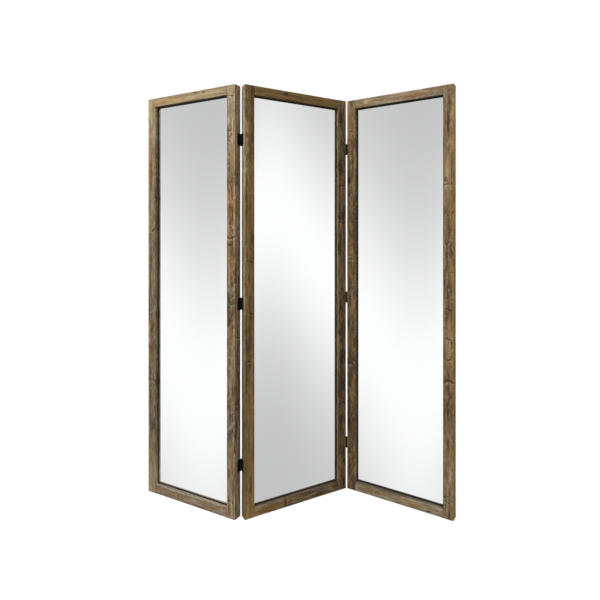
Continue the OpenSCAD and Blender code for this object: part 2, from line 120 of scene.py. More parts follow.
MEMBERS = (
    Member(
        "left_outer_stile", (0.68, 0.28, 0.26, 0.2, 0.74), figure=0.82, rust=0.36, grey=0.5,
        tint=(0.95, 1.01, 1.01), inner=(1.67, 1.81, 1.88), pith=(46, 30),
        marks=on("front",
            rust=[(-4, 580, 12, 50), (11, -240, 7, 100), (2, -640, 7, 35)],
            grey=[(-8, 432, 10, 75), (-10, 235, 8, 22), (-15, -628, 6, 50)],
            line=[(9, 304, 11, 5), (0, -390, 22, 5)], dark=[(8, 306, 8, 5), (-17, -62, 5, 60)],
            pale=[(-14, -147, 6, 10), (-15, -222, 5.5, 32)])
        + on("left", line=[(2, 90, 14, 5)]),
        checks=(("front", -9, 20, 150), ("front", 8, -760, -680))),
    Member(
        "left_hinge_stile", (0.63, 0.35, 0.32, 0.19, 0.68), figure=1.0, rust=0.5, grey=0.55,
        tint=(0.95, 1.02, 1.04), pith=(-40, 44),
        marks=on("front",
            line=[(2, 867, 18, 3), (-9, 724, 12, 4), (-2, 700, 10, 4), (-8, 679, 9, 4),
                (-13, 581, 9, 3.5), (0, 272, 22, 5), (-6, 240, 13, 4), (-2, -843, 15, 5)],
            grey=[(10, 800, 9, 45)],
            rust=[(-8, 480, 8, 80), (6, 380, 9, 90), (-6, 250, 10, 70), (8, 150, 9, 60),
                (-4, -60, 12, 30), (4, -150, 9, 45), (15, -390, 5, 90)],
            pale=[(-4, 430, 4, 40), (10, 300, 3, 30)],
            dark=[(-6, -82, 11, 14), (-10, -728, 5, 26)])
        # Its right side: the light patch along its whole length is painted light.
        + on("right",
            light=[(0, 120, 30, 1000)], pale=[(-6, 380, 9, 110)], line=[(-4, -150, 14, 5)]),
        checks=(("front", -12, 620, 760), ("front", 6, -830, -560), ("front", -12, -120, 90))),
    Member(
        "left_top_rail", (0.61, 0.64, 0.66, 0.62), figure=0.5, rust=0.3, grey=0.25,
        tint=(0.94, 1.0, 1.02), inner=(0.58, 0.56, 0.46), pith=(-60, 30),
        marks=on("front", dark=[(-13, 33, 3, 11), (-10, 81, 4, 9)], gold=[(2, -130, 7, 75)])),
    Member(
        "left_bottom_rail", (0.37, 0.48, 0.56, 0.6), figure=0.7, rust=0.35, grey=0.4,
        tint=(0.98, 1.0, 1.11), inner=(1.15, 1.38, 1.65), pith=(52, -40),
        marks=on("front",
            rust=[(5, -120, 7, 22), (-8, 160, 6, 18)], dark=[(13, 62, 3, 26)],
            grey=[(-4, 25, 10, 30), (0, -150, 10, 40)])),
    Member(
        "centre_left_stile", (0.12, 0.29, 0.22, 0.38, 0.6), figure=0.62, rust=0.55, grey=0.2,
        tint=(1.17, 1.05, 0.72), pith=(50, -38),
        marks=on("front",
            line=[(-13, 616, 7, 3.5), (-4, 169, 13, 4), (3, -50, 12, 4), (8, -870, 9, 3)],
            rust=[(5, -66, 9, 12)], dark=[(-15, -320, 3.5, 68), (3, -778, 5, 36)],
            pale=[(15, -448, 3, 5)])
        # Its left side: the light patch and the broad pale patch at the top are painted light, and
        # the dim patch at the foot is painted shade, so the side darkens downwards.
        + on("left",
            silver=[(0, 100, 30, 1000)], grey=[(0, 740, 28, 230)], light=[(0, 560, 30, 760)],
            pale=[(0, 780, 30, 260), (0, 232, 18, 2.5), (-6, 60, 10, 110)],
            dark=[(11, -290, 3, 150)], dim=[(0, -700, 28, 380)]),
        checks=(("left", 4, 250, 420),)),
    Member(
        "centre_right_stile", (0.2, 0.2, 0.24, 0.09, 0.17), figure=0.9, rust=0.45, grey=0.25,
        tint=(0.96, 0.95, 0.83), inner=(1.26, 1.6, 1.9), pith=(-44, -34),
        marks=on("front",
            dark=[(-8, 828, 14, 30), (-8, 598, 12, 42), (0, 368, 20, 26), (-11, 235, 7, 46),
                (-7, -39, 5, 40), (-14, -173, 8, 15), (6, -292, 17, 28), (-2, -413, 14, 55),
                (-8, -610, 6, 46), (5, -737, 9, 55), (12, -880, 9, 30)],
            rust=[(0, 536, 20, 9)],
            line=[(0, 513, 20, 5), (0, 340, 18, 4), (0, -511, 20, 4)]),
        checks=(("front", -10, 180, 320), ("front", -6, -60, 30))),
    Member(
        "centre_top_rail", (0.34, 0.27, 0.31, 0.32), figure=0.32, rust=0.3, grey=0.1,
        tint=(1.14, 1.06, 0.76), inner=(0.61, 0.61, 0.5), pith=(54, 36),
        marks=on("front", dark=[(-8, -61, 7, 9)], rust=[(9, -45, 7, 12)])),
    Member(
        "centre_bottom_rail", (0.69, 0.45, 0.43, 0.44), figure=0.8, rust=0.5, grey=0.35,
        tint=(1.0, 1.03, 0.94), inner=(0.53, 0.57, 0.69), pith=(-48, 40),
        marks=on("front",
            dark=[(0, -64, 22, 5), (-8, 195, 12, 16), (6, 110, 8, 40)],
            pale=[(0, -54, 16, 3)], rust=[(4, -150, 12, 50)]),
        checks=(("front", -5, 10, 90),)),
    Member(
        "right_hinge_stile", (0.39, 0.1, 0.14, 0.0, 0.17), figure=1.0, rust=0.6, grey=0.35,
        tint=(0.97, 0.96, 0.86), inner=(1.72, 2.05, 2.15), pith=(-42, 38),
        marks=on("front",
            line=[(3, 766, 17, 3.5), (-14, 674, 8, 4), (-6, 475, 15, 4), (-7, 186, 12, 4),
                (-5, 168, 11, 4), (-8, 148, 10, 4), (-5, -322, 15, 3.5), (0, -743, 19, 4)],
            pale=[(-1, 628, 3.5, 34), (-10, 497, 10, 5), (-7, 333, 13, 2.5), (-6, -332, 15, 3),
                (2, -517, 18, 2.5)],
            dark=[(-13, 536, 9, 13), (14, 432, 3.5, 36), (-12, -600, 6, 60)],
            rust=[(0, -598, 18, 70)]),
        checks=(("front", 5, 560, 700), ("front", 9, -840, -700))),
    Member(
        "right_outer_stile", (0.47, 0.39, 0.32, 0.38, 0.4), figure=0.9, rust=0.4, grey=0.4,
        tint=(0.99, 1.01, 0.96), pith=(40, 46),
        marks=on("front",
            dark=[(-2, 749, 5, 50), (-17, 97, 4, 48), (-17, -442, 3.5, 75)],
            knot=[(-10, 515, 7, 9), (-4, 362, 3.5, 4), (14, -171, 4, 6)],
            line=[(-9, 494, 11, 4), (13, 495, 5, 4), (-5, 247, 10, 4), (12, 123, 8, 3),
                (0, -32, 15, 3.5), (-1, -157, 11, 3.5), (-1, -243, 13, 3.5), (0, -335, 22, 6),
                (-8, -820, 13, 4), (-6, -842, 12, 4)],
            grey=[(-5, 190, 6, 60)], rust=[(0, -316, 16, 12)], gold=[(19, 0, 5, 900)])
        # Its right side: the amber patch over the whole face is painted light, which lightens and
        # warms it.
        + on("right",
            gold=[(0, 420, 22, 480)],
            pale=[(0, 760, 20, 160), (-6, 366, 9, 110), (5, -740, 9, 110)],
            amber=[(0, 0, 30, 960)], line=[(-12, -340, 9, 4)]),
        checks=(("front", 2, 690, 790), ("front", -4, 120, 230))),
    Member(
        "right_top_rail", (0.6, 0.67, 0.64, 0.58), figure=0.5, rust=0.35, grey=0.45,
        tint=(0.95, 1.01, 1.06), inner=(0.35, 0.35, 0.27), pith=(-56, -34),
        marks=on("front", pale=[(-6, -155, 8, 16)], rust=[(3, 80, 10, 45)])),
    Member(
        "right_bottom_rail", (0.62, 0.66, 0.68, 0.66), figure=0.7, rust=0.45, grey=0.45,
        tint=(0.95, 1.03, 1.05), inner=(0.44, 0.47, 0.54), pith=(50, 42),
        marks=on("front",
            dark=[(13, 142, 4, 11)], pale=[(-12, 190, 5, 10)], rust=[(0, 80, 10, 30)])),
)

FACE_NORMALS = {"front": (0, -1), "back": (0, 1), "left": (-1, 0), "right": (1, 0)}


# ---- Settings --------------------------------------------

COLOUR = {"subtype": "COLOR", "size": 3, "min": 0.0, "max": 1.0}
LENGTH = {"unit": "LENGTH", "min": 0.05 * MM, "max": 5 * MM}
EASE = {"unit": "LENGTH", "min": 0.05 * MM, "max": 0.6 * MM}


class ScreenWoodSettings(bpy.types.PropertyGroup):
    """Shape and colours of the weathered wood."""
    edge_radius: FloatProperty(
        name="Eased edge", description="Radius of the long edges before wear",
        default=1.0 * MM, **LENGTH)
    end_chamfer: FloatProperty(
        name="End chamfer", description="Broken edge round each sawn end", default=0.4 * MM, **EASE)
    edge_wear: FloatProperty(
        name="Edge wear", description="Deepest wear of the long edges", default=0.9 * MM, **LENGTH)
    surface_wear: FloatProperty(
        name="Surface wear", description="Depth of the hollows between the hard grain",
        default=0.5 * MM, **LENGTH)
    knot_depth: FloatProperty(
        name="Knot depth", description="Depth of the grooves round the knots",
        default=0.9 * MM, **LENGTH)
    check_depth: FloatProperty(
        name="Check depth", description="Depth of the drying cracks", default=1.4 * MM, **LENGTH)
    ring_spacing: FloatProperty(
        name="Ring spacing", description="Width of one year's growth", default=3.4 * MM, **LENGTH)
    light_colour: FloatVectorProperty(
        name="Light wood", description="Dry, sun-bleached wood",
        default=(0.420, 0.325, 0.200), **COLOUR)
    middle_colour: FloatVectorProperty(
        name="Middle wood", description="Main tone of the wood",
        default=(0.205, 0.138, 0.072), **COLOUR)
    dark_colour: FloatVectorProperty(
        name="Dark wood", description="Dark bands and stains",
        default=(0.070, 0.042, 0.021), **COLOUR)
    rust_colour: FloatVectorProperty(
        name="Resin streaks", description="Orange-brown heartwood streaks",
        default=(0.270, 0.130, 0.048), **COLOUR)
    grey_colour: FloatVectorProperty(
        name="Weathered grey", description="Silvered patches",
        default=(0.380, 0.335, 0.285), **COLOUR)
    knot_colour: FloatVectorProperty(
        name="Knots and cracks", description="Colour in knots and cracks",
        default=(0.030, 0.018, 0.010), **COLOUR)


class ScreenPartSettings(bpy.types.PropertyGroup):
    """Finishes of the glass, the backs and the ironwork."""
    mirror_colour: FloatVectorProperty(
        name="Mirror", description="Tint of the silvering", default=(0.982, 0.988, 0.988), **COLOUR)
    edging_colour: FloatVectorProperty(
        name="Edging", description="Black strip round the glass",
        default=(0.010, 0.009, 0.008), **COLOUR)
    board_colour: FloatVectorProperty(
        name="Backing board", description="Hardboard behind the glass",
        default=(0.175, 0.105, 0.058), **COLOUR)
    dowel_colour: FloatVectorProperty(
        name="Dowels", description="Beech of the joint dowels",
        default=(0.480, 0.330, 0.180), **COLOUR)
    steel_colour: FloatVectorProperty(
        name="Black steel", description="Lacquer on hinges and screws",
        default=(0.008, 0.008, 0.009), **COLOUR)
    leaf_ease: FloatProperty(
        name="Hinge edges", description="Rounding of a hinge leaf's edges",
        default=0.25 * MM, **EASE)
    pin_ease: FloatProperty(
        name="Pin heads", description="Rounding of a hinge pin's heads", default=0.45 * MM, **EASE)
    edging_ease: FloatProperty(
        name="Edging and boards", description="Rounding of the edging and the boards",
        default=0.4 * MM, **EASE)


class ScreenStageSettings(bpy.types.PropertyGroup):
    """Camera, light and floor."""
    lens: FloatProperty(
        name="Lens", description="Focal length", default=28.73, min=10.0, max=200.0, unit="CAMERA")
    eye: FloatVectorProperty(
        name="Eye", description="Where the camera stands", subtype="XYZ", size=3, unit="LENGTH",
        default=(0.123, -2.151, 1.190))
    shift: FloatVectorProperty(
        name="Shift", description="Sideways and upward shift of the lens", size=2,
        default=(-0.0399, -0.1061))
    fill_high: FloatProperty(
        name="Fill from above", description="Even light from overhead", default=1.50, min=0.0)
    fill_low: FloatProperty(
        name="Fill from below", description="Even light from the horizon", default=0.10, min=0.0)
    key_power: FloatProperty(
        name="Key light", description="Power of the big lamp, high on the left",
        default=95.0, min=0.0, max=1000.0, unit="POWER")
    key_place: FloatVectorProperty(
        name="Key light's place", description="Middle of the big lamp", subtype="XYZ", size=3,
        unit="LENGTH", default=(-2.3, -1.7, 2.7))
    key_size: FloatProperty(
        name="Key light's size", description="Side of the big square lamp",
        default=1.3, min=0.1, max=5.0, unit="LENGTH")
    floor_colour: FloatVectorProperty(
        name="Floor", description="Colour of the pale floor", default=(0.16, 0.16, 0.16), **COLOUR)


# ---- Modelling helpers -----------------------------------

def only(piece):
    """Makes the piece the only one selected, and active."""
    bpy.ops.object.select_all(action="DESELECT")
    piece.select_set(True)
    bpy.context.view_layer.objects.active = piece


def put(piece, matrix):
    """Moves the piece by the matrix and writes the move into its mesh."""
    piece.matrix_world = matrix
    only(piece)
    bpy.ops.object.transform_apply(location=True, rotation=True, scale=True)


def add_object(name, data=None):
    added = bpy.data.objects.new(name, data)
    bpy.context.scene.collection.objects.link(added)
    return added


def add_block(name, low, high):
    """A block between two corners, with its place in its mesh."""
    bpy.ops.mesh.primitive_cube_add(size=1, location=(low + high) / 2, scale=high - low)
    block = bpy.context.active_object
    block.name = block.data.name = name
    only(block)
    bpy.ops.object.transform_apply(location=True, rotation=True, scale=True)
    return block


def edit(piece, edges=None, faces=None):
    """Opens the piece in edit mode with the edges selected whose two ends pass one test, or the
    faces that pass another."""
    mesh = piece.data
    only(piece)
    bpy.context.tool_settings.mesh_select_mode = (False, bool(edges), bool(faces))
    for part in (mesh.vertices, mesh.edges, mesh.polygons):
        part.foreach_set("select", [False] * len(part))
    if edges:
        for edge in mesh.edges:
            edge.select = edges(*(mesh.vertices[i].co for i in edge.vertices))
    if faces:
        for face in mesh.polygons:
            face.select = faces(face)
    bpy.ops.object.mode_set(mode="EDIT")


def leave_edit():
    bpy.ops.object.mode_set(mode="OBJECT")


def points(piece):
    flat = np.empty(len(piece.data.vertices) * 3, np.float32)
    piece.data.vertices.foreach_get("co", flat)
    return flat.reshape(-1, 3).astype(float)


def change(piece, kind, **settings):
    """Adds a modifier to the piece and applies it."""
    modifier = piece.modifiers.new(kind.lower(), kind)
    for name, value in settings.items():
        setattr(modifier, name, value)
    only(piece)
    bpy.ops.object.modifier_apply(modifier=modifier.name)


def carve(piece, weights, depth, texture=None, guide=None):
    """Pushes the surface in by up to depth where each vertex has its weight, varied by a texture
    laid along the guide."""
    group = piece.vertex_groups.new(name="carved")
    for i in np.flatnonzero(weights > 0.01):
        group.add([int(i)], float(min(weights[i], 1.0)), "REPLACE")
    if texture is None:
        change(piece, "DISPLACE", vertex_group=group.name, strength=-depth, mid_level=0.0)
    else:
        change(piece, "DISPLACE", vertex_group=group.name, strength=depth, mid_level=1.0,
               texture=texture, texture_coords="OBJECT", texture_coords_object=guide)
    piece.vertex_groups.clear()


def finish_piece(piece, *nodes):
    """Hands a finished piece to the frame in place of its nodes, with their body."""
    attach(piece, BODY_OF[nodes[0]])
    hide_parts(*nodes)


def paint(piece, material):
    piece.data.materials.clear()
    piece.data.materials.append(material)


def smooth(piece, degrees):
    only(piece)
    bpy.ops.object.shade_smooth_by_angle(angle=math.radians(degrees))


# ---- Places, read from the frame -------------------------

def panel_turn(panel):
    """The panel's turn about Z, from the way its glass faces."""
    face = max(NODES[panel + "_mirror"].data.polygons, key=lambda p: p.area)
    front = face.normal if face.normal.y < 0 else -face.normal
    return math.atan2(front.x, -front.y)


TURN = {panel: Matrix.Rotation(panel_turn(panel), 4, "Z") for panel in PANELS}


def square_box(node, panel):
    """A node's lowest and highest corners, measured square to its panel."""
    unturn = np.array(TURN[panel].inverted().to_3x3())
    co = points(NODES[node]) @ unturn.T
    return Vector(co.min(0)), Vector(co.max(0))


def member_place(member):
    """A member's (width, depth, length), and the matrix from its own frame to its panel's."""
    low, high = square_box(member.node, member.panel)
    size = high - low
    lay = Matrix.Identity(4) if member.upright else Matrix.Rotation(math.radians(90), 4, "Y")
    if not member.upright:
        size = Vector((size.z, size.y, size.x))
    return size, Matrix.Translation((low + high) / 2) @ lay


# ---- Wood: shape -----------------------------------------

CROSS_CUTS = 21
LONG_STEP = 4.6 * MM
SEAT_PLAY = 0.5 * MM
OVERCUT = 20 * MM
EDGE_REACH = 4 * MM
FACE_MARGIN = 3 * MM
CHIP_SIZE = 9 * MM
HOLLOW_SIZE = 6 * MM
MARK_DEPTH = 2.5
MARK_REACH = 14.0
RING_HEIGHT = 0.6
RING_WIDTH = 0.25
SPLIT_WIDTH = 0.16
CHECK_SWAY = 1.6 * MM
CHECK_WAVES = 26.0
CHECK_HALF_WIDTH = 1.5 * MM
CHECK_TAPER = 30 * MM
CHECK_REACH = 2 * MM


def mark_place(mark, size):
    """Middle of a mark on its face, and the scale that makes its outline a unit sphere."""
    nx, ny = FACE_NORMALS[mark.face]
    place = Vector((nx * size.x / 2, ny * size.y / 2, mark.up * MM))
    wide, deep, tall = mark.wide * MM, min(mark.wide * MARK_DEPTH, MARK_REACH) * MM, mark.tall * MM
    if nx:
        place.y = mark.across * MM
        return place, Vector((1 / deep, 1 / wide, 1 / tall))
    place.x = mark.across * MM
    return place, Vector((1 / wide, 1 / deep, 1 / tall))


def block_with_loops(name, size, settings):
    """An eased block with close loops along the grain and broken edges at its sawn ends."""
    half = size / 2
    chamfer = settings.end_chamfer

    def across(a, b):
        return abs(a.z - b.z) < MM and (a - b).length > half.x

    def along(reach):
        return lambda a, b: abs(a.z - b.z) > reach

    low = Vector((-half.x, -half.y, -half.z + chamfer))
    block = add_block(name, low, -low)
    edit(block, edges=along(half.z))
    bpy.ops.mesh.bevel(offset=settings.edge_radius, segments=3, affect="EDGES")
    leave_edit()
    edit(block, faces=lambda face: abs(face.normal.z) > 0.9)
    bpy.ops.mesh.delete(type="ONLY_FACE")
    leave_edit()
    cuts = round(math.sqrt(size.z / LONG_STEP)) - 1
    for edges, number in ((across, CROSS_CUTS), (along(half.z), cuts), (along(MM), cuts)):
        edit(block, edges)
        bpy.ops.mesh.subdivide(number_cuts=number)
        leave_edit()
    for end in (-1, 1):
        rim = end * (half.z - chamfer)
        edit(block, edges=lambda a, b: max(abs(a.z - rim), abs(b.z - rim)) < chamfer / 10)
        bpy.ops.mesh.extrude_region_move(TRANSFORM_OT_translate={"value": (0, 0, end * chamfer)})
        shrink = [1 - chamfer / half.x, 1 - chamfer / half.y, 1]
        bpy.ops.transform.resize(value=shrink, center_override=(0, 0, 0))
        bpy.ops.mesh.edge_face_add()
        leave_edit()
    return block


def near_edge(co, size, reach):
    """1 on the long edges, falling to 0 at reach from them."""
    gap_x = size.x / 2 - np.abs(co[:, 0])
    gap_y = size.y / 2 - np.abs(co[:, 1])
    return np.clip(1 - np.hypot(gap_x, gap_y) / reach, 0, 1)


def knot_weights(co, member, size):
    """The groove round each knot and the split in its middle."""
    weights = np.zeros(len(co))
    for mark in member.marks:
        if mark.kind == "knot":
            place, scale = mark_place(mark, size)
            away = (co - np.array(place)) * np.array(scale)
            distance = np.linalg.norm(away, axis=1)
            ring = RING_HEIGHT * np.exp(-((distance - 1.0) / RING_WIDTH) ** 2)
            side = away[:, 1] if FACE_NORMALS[mark.face][0] else away[:, 0]
            split = np.exp(-(side / SPLIT_WIDTH) ** 2) * np.clip(1.1 - distance, 0, 1)
            weights = np.maximum(weights, np.maximum(ring, split))
    return weights


def check_weights(co, member, size):
    """The drying cracks, swaying along the grain and running out at both ends."""
    weights = np.zeros(len(co))
    for face, across, low, high in member.checks:
        nx, ny = FACE_NORMALS[face]
        line = across * MM + CHECK_SWAY * np.sin(co[:, 2] * CHECK_WAVES + across)
        off = np.abs((co[:, 1] if nx else co[:, 0]) - line)
        inside = np.minimum(co[:, 2] - low * MM, high * MM - co[:, 2])
        behind = size.x / 2 - nx * co[:, 0] if nx else size.y / 2 - ny * co[:, 1]
        crack = 1.0
        for gap in (1 - off / CHECK_HALF_WIDTH, inside / CHECK_TAPER, 1 - behind / CHECK_REACH):
            crack = crack * np.clip(gap, 0, 1)
        weights = np.maximum(weights, crack)
    return weights


def clouds(name, size):
    texture = bpy.data.textures.new(name, "CLOUDS")
    texture.noise_scale = size
    texture.noise_depth = 3
    return texture


def grain_guide(name, spread, offset):
    """A guide that lays a texture long in the grain and narrow across it."""
    guide = add_object(name)
    guide.scale = spread
    guide.location = offset
    bpy.context.view_layer.update()
    return guide


def glass_side(member):
    """Which side of a member the glass is on, along its own X."""
    low, high = square_box(member.node, member.panel)
    glass_low, glass_high = square_box(member.panel + "_mirror", member.panel)
    towards = glass_low + glass_high - low - high
    return math.copysign(1, towards.x if member.upright else -towards.z)


def rebate_cut(piece, node, panel, back, place):
    """Cuts a node's seat into a member, from the seat's front face to past the frame's back."""
    low, high = square_box(node, panel)
    low = low - Vector((SEAT_PLAY, 0, SEAT_PLAY))
    high = Vector((high.x + SEAT_PLAY, back + OVERCUT, high.z + SEAT_PLAY))
    cutter = add_block("rebate_cutter", low, high)
    put(cutter, place.inverted())
    change(piece, "BOOLEAN", operation="DIFFERENCE", solver="EXACT", object=cutter)
    bpy.data.objects.remove(cutter)


def model_member(member, number, settings):
    """Models one weathered wooden member and puts it in its place."""
    size, place = member_place(member)
    piece = block_with_loops(member.node + "_wood", size, settings)
    back = square_box(member.node, member.panel)[1].y
    rebate_cut(piece, member.panel + "_mirror", member.panel, back, place)
    rebate_cut(piece, member.panel + "_backing_board", member.panel, back, place)
    co = points(piece)
    offset = (0.1 * number, 0.07 * number, 0.9 * number)
    chips = grain_guide("chip_guide", (1, 1, 4), offset)
    hollows = grain_guide("hollow_guide", (1, 1, 22), offset)
    carve(piece, near_edge(co, size, EDGE_REACH), settings.edge_wear,
          clouds("edge_wear", CHIP_SIZE), chips)
    carve(piece, 1 - near_edge(co, size, FACE_MARGIN), settings.surface_wear,
          clouds("hollows", HOLLOW_SIZE), hollows)
    carve(piece, knot_weights(co, member, size), settings.knot_depth)
    carve(piece, check_weights(co, member, size), settings.check_depth)
    for guide in (chips, hollows):
        bpy.data.objects.remove(guide)
    place = TURN[member.panel] @ place
    put(piece, place)
    smooth(piece, 50)
    paint(piece, wood_material(member, number, size, place, settings))
    finish_piece(piece, member.node)
    return piece


# ---- Materials -------------------------------------------

# The colour sockets of a Mix node, which share their names with its other kinds.
MIX_SHARE, MIX_FIRST, MIX_SECOND, MIX_RESULT = 0, 6, 7, 2


class Recipe:
    """Builds one node tree. Each helper adds a node and returns its output socket."""

    def __init__(self, tree):
        self.tree = tree

    def add(self, kind, inputs=(), output=0, **settings):
        node = self.tree.nodes.new(kind)
        for key, value in settings.items():
            setattr(node, key, value)
        for socket, value in dict(inputs).items():
            self.feed(node.inputs[socket], value)
        return node.outputs[output]

    def feed(self, socket, value):
        if isinstance(value, bpy.types.NodeSocket):
            self.tree.links.new(value, socket)
        else:
            socket.default_value = value

    def math(self, operation, *values, clamp=False):
        return self.add("ShaderNodeMath", enumerate(values), operation=operation, use_clamp=clamp)

    def times(self, first, second):
        return self.math("MULTIPLY", first, second)

    def scaled(self, value, factor, more):
        return self.math("MULTIPLY_ADD", value, factor, more)

    def gap(self, first, second):
        return self.math("ABSOLUTE", self.math("SUBTRACT", first, second))

    def vector(self, operation, *values):
        return self.add("ShaderNodeVectorMath", enumerate(values), operation=operation)

    def length(self, value):
        return self.add("ShaderNodeVectorMath", {0: value}, "Value", operation="LENGTH")

    def axis(self, place, letter):
        return self.add("ShaderNodeSeparateXYZ", {0: place}, letter)

    def own_place(self):
        return self.add("ShaderNodeTexCoord", output="Object")

    def laid(self, place, scale):
        return self.vector("MULTIPLY", place, scale)

    def noise(self, place, scale=1.0, detail=3.0, roughness=0.5, output="Fac"):
        return self.add("ShaderNodeTexNoise", {"Vector": place, "Scale": scale, "Detail": detail,
                                               "Roughness": roughness}, output)

    def step(self, value, low, high, to_low=0.0, to_high=1.0):
        """Rises smoothly from to_low to to_high as value goes from low to high."""
        return self.add("ShaderNodeMapRange", {"Value": value, "From Min": low, "From Max": high,
                                               "To Min": to_low, "To Max": to_high},
                        interpolation_type="SMOOTHSTEP")

    def blend(self, share, first, second, kind="MIX"):
        return self.add("ShaderNodeMix", {MIX_SHARE: share, MIX_FIRST: first, MIX_SECOND: second},
                        MIX_RESULT, data_type="RGBA", blend_type=kind)

    def shade(self, share, colour, factor):
        """Multiplies the colour by the factor, as far as the share goes."""
        return self.blend(share, colour, factor, "MULTIPLY")

    def ramp(self, value, greys):
        """Greys set evenly from value 0 to value 1, with soft steps between them."""
        node = self.tree.nodes.new("ShaderNodeValToRGB")
        self.feed(node.inputs[0], value)
        node.color_ramp.interpolation = "EASE"
        stops = node.color_ramp.elements
        last = len(greys) - 1
        for i in range(1, last):
            stops.new(i / last)
        for stop, grey in zip(stops, greys):
            stop.color = (grey, grey, grey, 1)
        return node.outputs[0]

    def bump(self, height, distance, strength=1.0):
        return self.add("ShaderNodeBump", {"Height": height, "Distance": distance,
                                           "Strength": strength})


class Finish(Recipe):
    """Builds one material round its Principled shader."""

    def __init__(self, name):
        self.material = bpy.data.materials.new(name)
        self.material.use_nodes = True
        super().__init__(self.material.node_tree)

    def surface(self, **values):
        shader = self.tree.nodes["Principled BSDF"]
        for name, value in values.items():
            self.feed(shader.inputs[name.replace("_", " ")], value)
        return self.material


def rgba(colour):
    return (*colour, 1.0)


def tinted(colour, tint):
    return rgba([part * share for part, share in zip(colour, tint)])


# ---- Wood: colour ----------------------------------------

# Each pattern in the wood: its cells a metre across the grain, through it and along it, then its
# detail and roughness.
PATTERNS = {
    "sway": ((6, 6, 1.6), 2.0, 0.5), "curl": ((38, 38, 17), 2.0, 0.5),
    "rings": ((90, 90, 5), 3.0, 0.5), "fibres": ((700, 700, 18), 4.0, 0.6),
    "streaks": ((110, 110, 4), 4.0, 0.6), "mottle": ((95, 95, 16), 4.0, 0.58),
    "chips": ((150, 150, 48), 4.0, 0.65), "stains": ((45, 45, 9), 5.0, 0.65),
    "pits": ((230, 230, 42), 3.0, 0.6), "scars": ((16, 16, 330), 2.0, 0.5),
    "ragged": ((130, 130, 50), 3.0, 0.6), "torn": ((520, 520, 85), 2.0, 0.6),
}

# How far the grain wanders, and how ragged the marks' outlines are.
SWAY = (30 * MM, 30 * MM, 0)
CURL = (7 * MM, 7 * MM, 0)
STREAK_SWING = 0.28
MOTTLE_SWING = 0.22
PATCH_RAG = 2.6
KNOT_RAG = 1.6
KNOT_PUSH = 1.2
LINE_WAVES = 2.3
LINE_SWAY = 0.8
LINE_RAG = 2.6
RIM_DROP = 1.7
# How far in the painted light and shade on the faces towards the glass reaches, and how far the
# sawn ends' tone reaches.
PAINTED_SHADING_FADE = (1.8 * MM, 0.5 * MM)
END_FADE = (1.2 * MM, 0.4 * MM)

# What each patch and detail multiplies the wood's colour by. Three kinds are painted light and
# shade rather than marks in the wood: the light and the amber patches lighten a face as if more
# light fell on it, and the dim patch darkens one as if it were shaded.
PATCHES = {"dark": (0.40, 0.37, 0.36), "rust": (0.96, 0.75, 0.56), "gold": (1.14, 1.04, 0.78),
           "grey": (1.00, 1.12, 1.36), "silver": (0.86, 1.08, 1.60), "light": (1.30, 1.31, 1.29),
           "pale": (1.50, 1.58, 1.66), "dim": (0.60, 0.59, 0.58), "amber": (1.18, 1.10, 0.93)}
LATE_WOOD = (0.50, 0.40, 0.30, 1)
FIBRE_GAPS = (0.55, 0.48, 0.42, 1)
PITS = (0.34, 0.26, 0.22, 1)
KNOTS = (0.62, 0.42, 0.30, 1)
RIMS = (1.55, 1.60, 1.65, 1)
LINES = (0.20, 0.17, 0.17, 1)
SAWN_ENDS = (0.50, 0.42, 0.36, 1)


def pattern(r, place, name, output="Fac"):
    cells, detail, roughness = PATTERNS[name]
    return r.noise(r.laid(place, cells), 1.0, detail, roughness, output)


def line_mark(r, mark, away, side, ragged, torn):
    """A thin dark line that wavers across the grain, and the pale rim below it."""
    reach = r.step(r.scaled(ragged, 1.4, r.length(r.laid(away, (1, 1, 0)))), 1.15, 0.85)
    bend = r.math("SINE", r.scaled(side, LINE_WAVES, mark.up))
    off = r.scaled(ragged, LINE_RAG, r.scaled(bend, LINE_SWAY, r.axis(away, "Z")))
    edge = r.scaled(torn, LINE_RAG, r.math("ABSOLUTE", off))
    below = r.scaled(torn, LINE_RAG, r.gap(off, -RIM_DROP))
    return {"line": r.times(r.step(edge, 0.80, 0.35), reach),
            "rim": r.times(r.step(below, 0.95, 0.4), reach)}


def knot_mark(r, distance, side):
    """A knot's dark body, its outline and the split in its middle, and a pale rim round it."""
    outline = r.step(r.gap(distance, 0.95), 0.30, 0.06)
    split = r.times(r.step(r.math("ABSOLUTE", side), 0.26, 0.06), r.step(distance, 1.3, 1.0))
    return {"knot": r.step(distance, 1.8, 0.9), "line": r.math("MAXIMUM", outline, split),
            "rim": r.step(r.gap(distance, 1.7), 0.4, 0.1, 0.0, 0.7)}


def mark_pattern(r, own, marks, size):
    """The knots' push on the rings, and the share of each kind of patch, of the knots, and of their
    and the lines' dark parts and pale rims."""
    push = 0.0
    shares = dict.fromkeys(("knot", "line", "rim", *PATCHES), 0.0)
    ragged, torn = (r.math("SUBTRACT", pattern(r, own, name), 0.5) for name in ("ragged", "torn"))
    for mark in marks:
        place, scale = mark_place(mark, size)
        away = r.laid(r.vector("SUBTRACT", own, place), scale)
        side = r.axis(away, "Y" if FACE_NORMALS[mark.face][0] else "X")
        if mark.kind == "line":
            made = line_mark(r, mark, away, side, ragged, torn)
        elif mark.kind == "knot":
            distance = r.scaled(ragged, KNOT_RAG, r.length(away))
            push = r.scaled(r.step(distance, 3.5, 0.8), mark.wide * MM * KNOT_PUSH, push)
            made = knot_mark(r, distance, side)
        else:
            distance = r.scaled(ragged, PATCH_RAG, r.length(away))
            made = {mark.kind: r.step(distance, 1.5, 0.5)}
        for kind, share in made.items():
            shares[kind] = r.math("MAXIMUM", share, shares[kind])
    return push, shares


